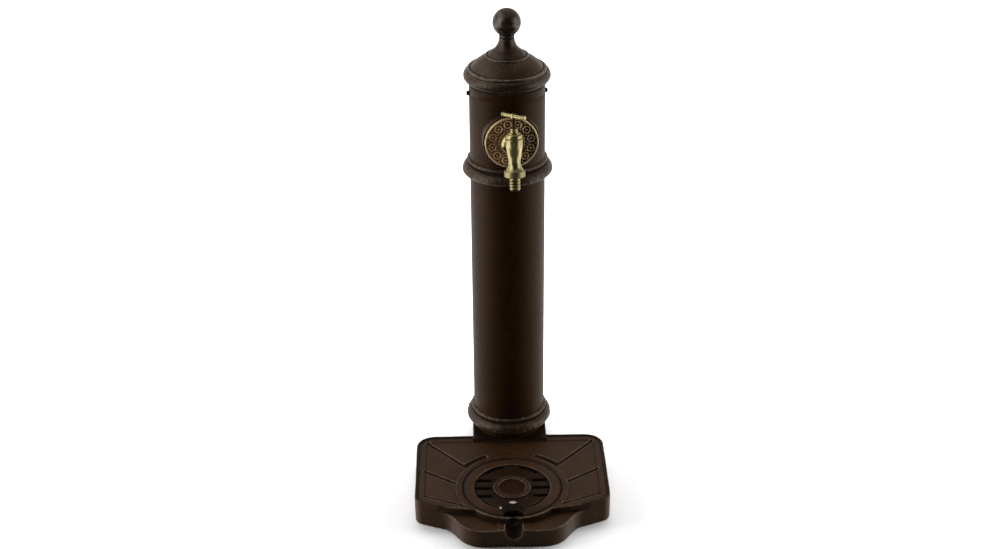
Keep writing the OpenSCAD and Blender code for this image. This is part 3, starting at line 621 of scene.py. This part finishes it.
def dress_grate():
    grate = remeshed("grate_casting", [solid_of("drain_grate")], GRATE_IRON, voxel=0.9, passes=3)
    mark_edges(grate, reach=0.18, passes=2)
    # Painted shade on the low border in the gap and beside the slots; the hub's top is made darker and
    # matte
    shade(grate, on_low_border, -0.3)
    shade(grate, by_slots, -0.4)
    shade(grate, lambda p: from_hub(p) < HUB_TOP_R, -0.14)
    skin_noise(grate, [(0.2, 14.0, 3), (0.12, 4.0, 4)])
    finish_piece(grate, "grate", "brown_iron", "drain_grate")


# Column, beads, cap and finial

def dress_column():
    """The tube with its scribed line."""
    line_z, line_depth, line_half = COLUMN_TOP - LINE_DROP, 0.55, 1.0
    ring_step = 8
    count = int((line_z - COLUMN_FOOT - ring_step / 2) / ring_step) + 1
    outline = [(COLUMN_R, COLUMN_FOOT + ring_step * k) for k in range(count)]
    outline += [
        (COLUMN_R, line_z - line_half), (COLUMN_R - line_depth, line_z),
        (COLUMN_R, line_z + line_half), (COLUMN_R, COLUMN_TOP),
        (COLUMN_R - COLUMN_WALL, COLUMN_TOP), (COLUMN_R - COLUMN_WALL, COLUMN_FOOT),
    ]
    column = turned(
        "column", outline, TUBE_PAINT, COLUMN_TURN, steps=192, closed=True,
        rough=[(0.10, 160.0, 5)],
    )
    finish_piece(column, "standpipe", "brown_paint", "column_tube")


def bead_outline(nose_z):
    """A round nose with a small ridge above it."""
    reach, below, above = 14, 6, 15
    inner = COLUMN_R + 0.1
    outline = [(inner, -6.0)]
    outline += [
        (COLUMN_R + reach * s, -below * math.sqrt(1 - s * s)) for s in np.linspace(0.04, 1, 16)
    ]
    outline += [
        (COLUMN_R + reach * math.cos(a), above * math.sin(a))
        for a in np.radians(np.linspace(4, 78, 20))
    ]
    outline += arc(72.5, 21.25, 2.5, -60, 90, 10)
    outline += [(inner, 23.75)]
    return raised(nose_z, outline)


def dress_beads():
    for name, solid, nose_z, seed in (
        ("foot_roll", "foot_bead", 74.5, 6), ("mid_roll", "mid_bead", 613.25, 7),
    ):
        bead = turned(
            name, bead_outline(nose_z), ROUGH_IRON, COLUMN_TURN, steps=320, closed=True,
            rough=[(0.50, 8.0, seed), (0.22, 3.5, seed + 10)],
        )
        mark_edges(bead, reach=0.2, passes=1)
        finish_piece(bead, "standpipe", "brown_iron", solid)


# Each is two radii and two heights above the column's top: painted shade in the grooves, painted
# highlights on the crests
CAP_GROOVE_SHADE = (
    (65.3, 68.0, 29.2, 31.0), (72.7, 74.4, 24.2, 25.6),
    (39.9, 40.8, 50.0, 51.1), (34.9, 36.4, 52.5, 53.8),
)
CAP_CREST_HIGHLIGHTS = ((68.6, 73.2, 27.4, 30.4), (37.2, 40.4, 51.9, 54.2))
# Heights above the column's top where the joint under the ball begins, with painted shade above it,
# and where the lip's painted shadow ends
CAP_JOINT = 85.2
CAP_LIP_SHADOW = 4.0


def cap_outline():
    """Spigot, lip, rim, ridge, dome, step, cushion and neck, in heights above the column's top."""
    outline = [(65.75, -30), (65.75, -0.2), (70.4, -0.2), (70.5, 1.2)]
    outline += arc(68, 15.5, 11.6, -74, 54, 30)
    outline += [(73.6, 24.9), (73.1, 25.0)]
    outline += arc(69.6, 26.5, 3.7, -24, 104, 16)
    outline += [(67.6, 29.8), (66.6, 29.9), (66.0, 30.6)]
    outline += [
        (65.6 - 25.2 * t + 4.4 * t * (1 - t), 31.2 + 19.5 * t + 4.4 * t * (1 - t))
        for t in np.linspace(0, 1, 20)
    ]
    outline += [(40.3, 50.6)]
    outline += arc(38.0, 51.4, 2.5, -10, 125, 14)
    outline += [(36.0, 52.9), (35.2, 53.3)]
    outline += [
        (34.6 - 11.0 * t + 2.0 * t * (1 - t), 53.8 + 9.6 * t + 2.4 * t * (1 - t))
        for t in np.linspace(0, 1, 14)
    ]
    outline += [(14 + 9.4 * (1 - t) ** 2.0, 63.8 + 20.2 * t) for t in np.linspace(0, 1, 24)]
    outline += [(13.6, CAP_JOINT), (12.4, 86.0), (11.8, 86.4), (5, 86.4)]
    return raised(COLUMN_TOP, outline)


def on_cap(r_low, r_high, z_low, z_high):
    """Picks the cap's points between two radii and two heights above the column's top."""
    def chosen(p):
        r, z = np.hypot(p[:, 0], p[:, 1]) / MM, p[:, 2] / MM - COLUMN_TOP
        return (r_low < r) & (r < r_high) & (z_low < z) & (z < z_high)
    return chosen


def dress_cap():
    cap = turned(
        "cap", cap_outline(), ROUGH_IRON, COLUMN_TURN, steps=320,
        rough=[(0.22, 10.0, 8), (0.18, 3.6, 18)],
    )
    mark_edges(cap, reach=0.2, passes=1)
    # Painted shade in the joint under the ball, a painted shadow under the lip, and painted shade in
    # the grooves
    shade(cap, lambda p: p[:, 2] > (COLUMN_TOP + CAP_JOINT) * MM, -0.6)
    shade(cap, lambda p: p[:, 2] < (COLUMN_TOP + CAP_LIP_SHADOW) * MM, -0.4)
    for groove in CAP_GROOVE_SHADE:
        shade(cap, on_cap(*groove), -0.4)
    # Painted highlights on the crests
    for crest in CAP_CREST_HIGHLIGHTS:
        shade(cap, on_cap(*crest), 0.3, add=True)
    finish_piece(cap, "standpipe", "brown_iron", "column_cap")


def dress_finial():
    ball_z, ball_r = FINIAL_FOOT + 26.9, 25.6
    joint_top = FINIAL_FOOT + 1.1
    outline = [(5, FINIAL_FOOT), (11.8, FINIAL_FOOT), (11.8, FINIAL_FOOT + 0.8)]
    outline += arc(12.3, FINIAL_FOOT + 2.5, 1.8, -68, 68, 10)
    outline += [(12.6, FINIAL_FOOT + 4.6)]
    outline += arc(0, ball_z, ball_r, -59, 90, 40)[:-1] + [(0, ball_z + ball_r)]
    finial = turned(
        "finial_ball", outline, BALL_IRON, COLUMN_TURN, steps=160,
        rough=[(0.14, 9.0, 9), (0.06, 3.4, 19)],
    )
    mark_edges(finial, reach=0.4, passes=1)
    # Painted shade in the joint at the foot of the ball
    shade(finial, lambda p: p[:, 2] < joint_top * MM, -0.6)
    finish_piece(finial, "standpipe", "brown_iron", "finial")


def dress_screws():
    head = [(2.2, -6), (2.2, 0), (4.5, 0), (4.5, 2.6), (3.6, 4.4), (0, 4.5)]
    points, faces = lathe_mesh(fillet(head, 0.8, 4), 40)
    out_of_wall = (
        Matrix.Translation((COLUMN_R * MM, 0, (COLUMN_TOP - SCREW_DROP) * MM))
        @ Matrix.Rotation(QUARTER, 4, "Y")
    )
    both = [
        (moved(points, COLUMN_TURN @ Matrix.Rotation(side, 4, "Z") @ out_of_wall), faces)
        for side in (0, math.pi)
    ]
    screws = piece("cap_side_screws", *joined(both), BLACK)
    finish_piece(screws, "standpipe", "black_screws", "cap_screws")


def dress_boss():
    boss = remeshed("boss_casting", [solid_of("tap_boss")], ROUGH_IRON, voxel=0.8, passes=5)
    mark_edges(boss, reach=0.25, passes=2)
    finish_piece(boss, "standpipe", "brown_iron", "tap_boss")


# Rosette: a plate with rings of flowers

ROSETTE_STEPS = 900
ROSETTE_GROUND = 81.7
ROSETTE_RELIEF = 1.5
ROSETTE_HOLE_R = 10.8
ORNAMENT_R = (18.8, 45.4)
RIM_CREST_Z = 83.0
ROSETTE_RIM = (
    (45.5, 82.3), (45.6, 83.4), (46.0, 83.9), (46.9, 84.1), (47.8, 83.8), (48.4, 83.1),
    (48.5, 82.0), (48.5, 78.1), (ROSETTE_HOLE_R, 78.1),
)


def ridge(distance, width):
    return np.exp(-((distance / width) ** 2))


def flowers(x, y, count, ring_r, size, turn, petals):
    """Height of a ring of flowers, each a petalled outline about an eye."""
    out = np.zeros_like(x)
    for k in range(count):
        a = turn + 2 * math.pi * k / count
        dx, dy = x - ring_r * math.cos(a), y - ring_r * math.sin(a)
        d = np.hypot(dx, dy)
        petal = size * (0.94 + 0.07 * np.cos(petals * (np.arctan2(dy, dx) - a)))
        out = np.maximum(out, ridge(d - petal, 0.15 * size))
        out = np.maximum(out, 0.95 * ridge(d, 0.27 * size))
    return out


def dots(x, y, count, ring_r, size, turn):
    """Height of a ring of round dots."""
    r, a = np.hypot(x, y), np.arctan2(y, x)
    step = 2 * math.pi / count
    offset = (a - turn + step / 2) % step - step / 2
    return ridge(np.hypot(r - ring_r, offset * ring_r), size)


def rosette_relief(angles):
    """Points of the plate's face and the height of its ornament at each."""
    plain = np.linspace(ROSETTE_HOLE_R, 18.5, 6)
    radii = np.concatenate([plain, np.arange(ORNAMENT_R[0], 45.3, 0.3)])
    r, a = np.meshgrid(radii, angles, indexing="ij")
    x, y = r * np.cos(a), r * np.sin(a)
    h = flowers(x, y, count=12, ring_r=35.8, size=6.9, turn=math.radians(12), petals=6)
    h = np.maximum(h, 0.9 * dots(x, y, count=12, ring_r=42.6, size=1.3, turn=math.radians(27)))
    h = np.maximum(h, 0.9 * dots(x, y, count=12, ring_r=29.0, size=1.5, turn=math.radians(27)))
    h = np.maximum(h, 0.8 * dots(x, y, count=24, ring_r=25.0, size=1.3, turn=math.radians(4)))
    h = np.maximum(h, 0.7 * ridge(r - 22.8, 0.7))
    h = h * (np.clip((r - ORNAMENT_R[0]) / 1.5, 0, 1) * np.clip((ORNAMENT_R[1] - r) / 0.8, 0, 1))
    return x, y, h


def dress_rosette():
    angles = np.linspace(0, 2 * math.pi, ROSETTE_STEPS, endpoint=False)
    x, y, h = rosette_relief(angles)
    face = np.stack([x, y, ROSETTE_GROUND + ROSETTE_RELIEF * h], axis=-1).reshape(-1, 3)
    rim = [(r * math.cos(a), r * math.sin(a), z) for r, z in ROSETTE_RIM for a in angles]
    height = list(h.ravel()) + [
        0.9 if z > RIM_CREST_Z else 0.3 for _, z in ROSETTE_RIM for _ in angles
    ]
    rings = len(h) + len(ROSETTE_RIM)
    faces = []
    for j in range(rings):
        here, there = j * ROSETTE_STEPS, (j + 1) % rings * ROSETTE_STEPS
        for k in range(ROSETTE_STEPS):
            n = (k + 1) % ROSETTE_STEPS
            faces.append([there + k, there + n, here + n, here + k])
    points = moved(np.concatenate([face, np.array(rim)]) * MM, INLET)
    rosette = piece("rosette_plate", points, faces, ANTIQUE, RELIEF_SHARP)
    store(rosette, "height", height)
    finish_piece(rosette, "standpipe", "antique_brass", "rosette")


# Tap

def dress_tap_body():
    """Collar, arm and barrel as one casting."""
    collar = [(0, 60), (10.4, 60), (10.4, 82.05), (22, 82.05), (22, 84.0)]
    collar += [
        (10 + 12 * math.cos(t), 84.0 + 14 * math.sin(t))
        for t in np.radians(np.linspace(4, 90, 24))
    ]
    collar += [(9.8, BARREL_Y), (0, BARREL_Y)]
    bore_top, skirt_top, waist_z = BARREL_FOOT + 25, BARREL_FOOT + 5.8, BARREL_FOOT + 20.3
    barrel = [
        (0, bore_top), (6.0, bore_top), (6.0, BARREL_FOOT), (16.6, BARREL_FOOT), (16.6, skirt_top),
    ]
    barrel += [(11 + 5.2 * (1 - s) ** 2, skirt_top + 14.5 * s) for s in np.linspace(0, 1, 24)]
    barrel += [
        (11 + 4.8 * s * s * (3 - 2 * s), waist_z + 38.7 * s) for s in np.linspace(0.03, 1, 36)
    ]
    barrel += [(15.8, BARREL_TOP - 1), (14.8, BARREL_TOP), (0, BARREL_TOP)]
    parts = []
    for outline, place in ((collar, INLET), (barrel, BARREL)):
        points, faces = lathe_mesh(outline, 160)
        parts.append((moved(points, place), faces))
    tap = remeshed("tap_casting", parts, BRASS, voxel=0.42, passes=4)
    finish_piece(tap, "standpipe", "polished_brass", "tap_body")


def dress_bonnet():
    round_z = BONNET_FOOT + 3.5
    bonnet = [(4, BONNET_FOOT), (15.0, BONNET_FOOT), (15.0, round_z)]
    bonnet += [
        (11 + 4 * math.cos(t), round_z + 4.5 * math.sin(t))
        for t in np.radians(np.linspace(0, 90, 14))
    ]
    bonnet += [(11, GLAND_FOOT), (4, GLAND_FOOT)]
    made = turned("bonnet_turned", fillet(bonnet, 0.6), BRASS, BARREL, steps=128)
    finish_piece(made, "standpipe", "polished_brass", "bonnet")


def dress_gland_nut():
    gland = raised(GLAND_FOOT, [
        (3.7, 0), (7.15, 0), (7.15, 3), (6.5, 3.6), (6.5, 4.2), (7.15, 4.8), (7.15, 6.7),
        (6.2, 7.5), (3.7, 7.5),
    ])
    made = turned("gland_turned", fillet(gland, 0.4), BRASS, BARREL, steps=96)
    finish_piece(made, "standpipe", "polished_brass", "gland_nut")


def dress_spindle():
    stem = [(0, -39.0), (3.5, -39.0), (3.5, -6.3), (4.4, -4.5), (4.4, -4.3), (2.5, -4.3)]
    stem += [(2.5, 4.5), (3.2, 4.5)] + arc(0, 2.9, 3.4, 25, 90, 8)[:-1] + [(0, 6.1)]
    stem = raised(BAR_Z, stem)
    made = turned("spindle_turned", stem, STEM_BRASS, BARREL, steps=64)
    finish_piece(made, "spindle", "polished_brass", "spindle")


def dress_handle():
    """Bar and hub as one casting."""
    half_bar = [
        (4.0, 0), (4.1, 14), (4.25, 22.9), (3.4, 23.4), (3.4, 24.4), (4.45, 24.8), (4.5, 27),
        (4.2, 28.3), (3.3, 28.9), (0, 29.0),
    ]
    bar = [(r, -z) for r, z in half_bar[::-1]] + half_bar[1:]
    hub = [(0, -4.5), (4.6, -4.5), (5.2, -3.6), (5.3, 0), (5.2, 3.6), (4.6, 4.5), (0, 4.5)]
    bar_turn = math.radians(-53)
    hub_place = (
        BARREL @ Matrix.Translation((0, 0, BAR_Z * MM)) @ Matrix.Rotation(bar_turn, 4, "Z")
    )
    bar_place = hub_place @ Matrix.Rotation(QUARTER, 4, "Y")
    parts = []
    for outline, place in ((fillet(bar, 0.8, 4), bar_place), (hub, hub_place)):
        points, faces = lathe_mesh(outline, 64)
        parts.append((moved(points, place), faces))
    handle = remeshed("handle_bar", parts, BRASS, voxel=0.3, passes=3)
    finish_piece(handle, "spindle", "polished_brass", "t_bar")


def dress_hose_nut():
    nut = [(10.9, 0), (18.2, 0), (19, 0.8), (19, 10.7), (18.2, 11.5), (16.7, 11.5)]
    nut = raised(NUT_FOOT, nut)
    made = turned("hose_nut_turned", fillet(nut, 0.7), NUT_BRASS, BARREL, steps=144)
    finish_piece(made, "hose_nut", "polished_brass", "union_nut")


def dress_hose_tail():
    barb = [(8.8, 0.2), (9.85, 3.1), (9.85, 4.6), (8.75, 5.4)]
    flange = [(8.75, 0), (10.8, 0), (10.8, 2.1), (15.6, 2.3), (15.6, 4.3), (6.5, 4.3)]
    barb_pitch, barbs = 5.5, 4
    tail = [(6.5, TAIL_FOOT), (8.6, TAIL_FOOT)]
    for k in range(barbs):
        tail += raised(TAIL_FOOT + k * barb_pitch, barb)
    tail += raised(NUT_FOOT, flange)
    made = turned("hose_tail_turned", fillet(tail, 0.35, 4), BRASS, BARREL, steps=128, closed=True)
    finish_piece(made, "hose_tail", "polished_brass", "hose_tail")


# The solids that stay as they are

SOLIDS = {
    "foot_flange": (IRON, "brown_iron"),
    "foot_bolts": (STEEL, "steel"),
    "foot_washers": (STEEL, "steel"),
    "bonnet_washer": (FIBRE, "fibre"),
    "gland_packing": (FIBRE, "fibre"),
    "jumper_valve": (BRASS, "polished_brass"),
    "valve_washer": (RUBBER, "rubber"),
    "washer_nut": (BRASS, "polished_brass"),
    "tail_washer": (RUBBER, "rubber"),
    "saddle_washer": (STEEL, "steel"),
    "back_nut": (BRASS, "polished_brass"),
    "pipe_elbow": (BRASS, "polished_brass"),
    "riser_pipe": (STEEL, "steel"),
    "riser_grommet": (RUBBER, "rubber"),
    "inlet_socket": (BRASS, "polished_brass"),
}


def paint_solids():
    for name, (paint_used, slot) in SOLIDS.items():
        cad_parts[name].data.materials.clear()
        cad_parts[name].data.materials.append(paint_used)


# Floor and light

def lay_floor():
    """Pale floor that keeps the shadow near the part and is white to the camera further off."""
    half_width, front, back = 3.2, -0.62, 4.2
    corners = [
        (-half_width, front, 0), (half_width, front, 0), (half_width, back, 0), (-half_width, back, 0),
    ]
    mesh = bpy.data.meshes.new("floor")
    mesh.from_pydata(corners, [], [(0, 1, 2, 3)])
    floor_paint = bpy.data.materials.new("floor")
    floor_paint.use_nodes = True
    tree = floor_paint.node_tree
    tree.nodes.clear()
    path = node(tree, "ShaderNodeLightPath").outputs
    where = node(tree, "ShaderNodeTexCoord").outputs["Object"]
    # Near the part the glow fades out, so the floor there is darker: painted shadow on top of the real
    # one
    white_beyond_painted_shadow = ramp(tree, from_centre(tree, where, 0.0, -0.19, 0.30, 0.26), 0.85, 1.5)
    colour = mix(tree, path["Is Diffuse Ray"], rgb((0.9, 0.9, 0.9)), rgb((0.5, 0.5, 0.5)))
    pale = node(tree, "ShaderNodeBsdfDiffuse", {"Color": colour})
    glow = node(tree, "ShaderNodeEmission", {
        "Color": rgb(WHITE), "Strength": times(tree, path["Is Camera Ray"], white_beyond_painted_shadow),
    })
    both = node(tree, "ShaderNodeAddShader", {0: pale.outputs[0], 1: glow.outputs[0]})
    node(tree, "ShaderNodeOutputMaterial", {"Surface": both.outputs[0]})
    mesh.materials.append(floor_paint)
    floor = bpy.data.objects.new("floor", mesh)
    floor.visible_glossy = False
    scene.collection.objects.link(floor)


# Direction, cosines at the rim and at the core, and strength of each bright spot in reflections
SPOTS = (
    ((-0.898, -0.330, 0.289), 0.86, 0.955, 1.0),
    ((0.978, -0.125, 0.170), 0.91, 0.975, 0.75),
)


def reflected_panels(tree, looking):
    """What glossy rays see: side panels, a low band for upright faces, and two spots."""
    toward = split(tree, looking)
    x, y, rise = toward["X"], toward["Y"], toward["Z"]
    sides = times(
        tree, ramp(tree, y, -0.78, -0.42, 0.05, 0.75), ramp(tree, y, 0.10, 0.40, 1.0, 0.35),
    )
    sides = times(tree, sides, ramp(tree, rise, -0.15, 0.02, 1.0, 0.45))
    above = times(tree, ramp(tree, rise, 0.30, 0.65), ramp(tree, x, -0.60, -0.15, 0.15, 0.70))
    sides = times(tree, sides, maths(tree, "SUBTRACT", 1.0, above))
    sides = times(tree, sides, ramp(tree, x, -0.35, 0.35, 1.33, 1.0))
    left_up = times(tree, ramp(tree, x, -0.60, -0.25, 0.55, 0.0), ramp(tree, rise, 0.25, 0.50))
    sides = maths(tree, "MAXIMUM", sides, left_up)
    low_band = ramp(tree, y, -0.50, 0.0, 0.06, 1.0)
    panels = node(
        tree, "ShaderNodeMix", {0: ramp(tree, rise, -0.43, -0.37), 2: low_band, 3: sides},
        data_type="FLOAT",
    ).outputs[0]
    panels = times(tree, panels, ramp(tree, rise, -0.56, -0.49, 0.05, 1.0))
    for aim, rim, core, share in SPOTS:
        facing = node(
            tree, "ShaderNodeVectorMath", {0: looking, 1: aim}, operation="DOT_PRODUCT",
        ).outputs["Value"]
        panels = maths(tree, "MAXIMUM", panels, ramp(tree, facing, rim, core, 0.0, share))
    return panels


def set_world():
    """White to the camera, panels to glossy rays, and a weak light from behind to the rest."""
    world = bpy.data.worlds.new("studio")
    scene.world = world
    world.use_nodes = True
    tree = world.node_tree
    tree.nodes.clear()
    path = node(tree, "ShaderNodeLightPath").outputs
    looking = node(tree, "ShaderNodeTexCoord").outputs["Generated"]
    toward = split(tree, looking)
    behind = ramp(tree, toward["Y"], -0.15, 0.45)
    studio = times(tree, behind, ramp(tree, toward["Z"], 0.05, 0.40, 1.0, 0.35))
    ambient = times(tree, maths(tree, "ADD", studio, 0.03), 0.55)
    seen = maths(tree, "MAXIMUM", path["Is Camera Ray"], path["Is Transmission Ray"])
    shown = times(tree, path["Is Glossy Ray"], reflected_panels(tree, looking))
    strength = maths(tree, "MAXIMUM", seen, maths(tree, "MAXIMUM", shown, ambient))
    back = node(tree, "ShaderNodeBackground", {"Color": rgb(WHITE), "Strength": strength})
    node(tree, "ShaderNodeOutputWorld", {"Surface": back.outputs[0]})


def softbox(name, place, aim, width, height, power):
    light = bpy.data.lights.new(name, "AREA")
    light.shape = "RECTANGLE"
    light.size, light.size_y = width, height
    light.energy = power
    made = bpy.data.objects.new(name, light)
    made.location = place
    made.rotation_euler = (Vector(aim) - Vector(place)).to_track_quat("-Z", "Y").to_euler()
    made.visible_camera = False
    made.visible_glossy = False
    scene.collection.objects.link(made)


# Camera, as fitted to the photograph

FOCAL_PX, WIDTH_PX, SENSOR_MM = 1547.62921, 1000.0, 36.0
TILT, ROLL, AZIMUTH, YAW = 0.483933402, -0.00559662747, -0.0238716681, 0.00522
DISTANCE, HEIGHT = 2.65580461, 1.78251025


def set_camera():
    eye = Vector((DISTANCE * math.sin(AZIMUTH), -DISTANCE * math.cos(AZIMUTH), HEIGHT))
    level = math.cos(TILT)
    ahead = Vector((-math.sin(AZIMUTH) * level, math.cos(AZIMUTH) * level, -math.sin(TILT)))
    right = Vector((math.cos(AZIMUTH), math.sin(AZIMUTH), 0))
    look = ahead * math.cos(YAW) - right * math.sin(YAW)
    across = right * math.cos(YAW) + ahead * math.sin(YAW)
    above = across.cross(look)
    rolled = across * math.cos(ROLL) + above * math.sin(ROLL)
    risen = above * math.cos(ROLL) - across * math.sin(ROLL)
    lens = bpy.data.cameras.new("camera")
    lens.sensor_width = SENSOR_MM
    lens.lens = FOCAL_PX * SENSOR_MM / WIDTH_PX
    camera = bpy.data.objects.new("camera", lens)
    camera.matrix_world = Matrix((
        (rolled.x, risen.x, -look.x, eye.x),
        (rolled.y, risen.y, -look.y, eye.y),
        (rolled.z, risen.z, -look.z, eye.z),
        (0, 0, 0, 1),
    ))
    scene.collection.objects.link(camera)
    scene.camera = camera


dress_tray()
dress_grate()
dress_column()
dress_beads()
dress_cap()
dress_finial()
dress_screws()
dress_boss()
dress_rosette()
dress_tap_body()
dress_bonnet()
dress_gland_nut()
dress_spindle()
dress_handle()
dress_hose_nut()
dress_hose_tail()
paint_solids()
lay_floor()
set_world()
softbox("left_box", (-1.6, 0.05, 0.75), (0, 0, 0.45), width=1.2, height=1.4, power=35)
softbox("right_box", (1.6, 0.1, 0.75), (0, 0, 0.45), width=1.1, height=1.4, power=31)
softbox("top_box", (0.0, 0.9, 2.3), (0, 0.1, 0.0), width=2.6, height=1.4, power=60)
set_camera()
scene.view_settings.view_transform = "Standard"
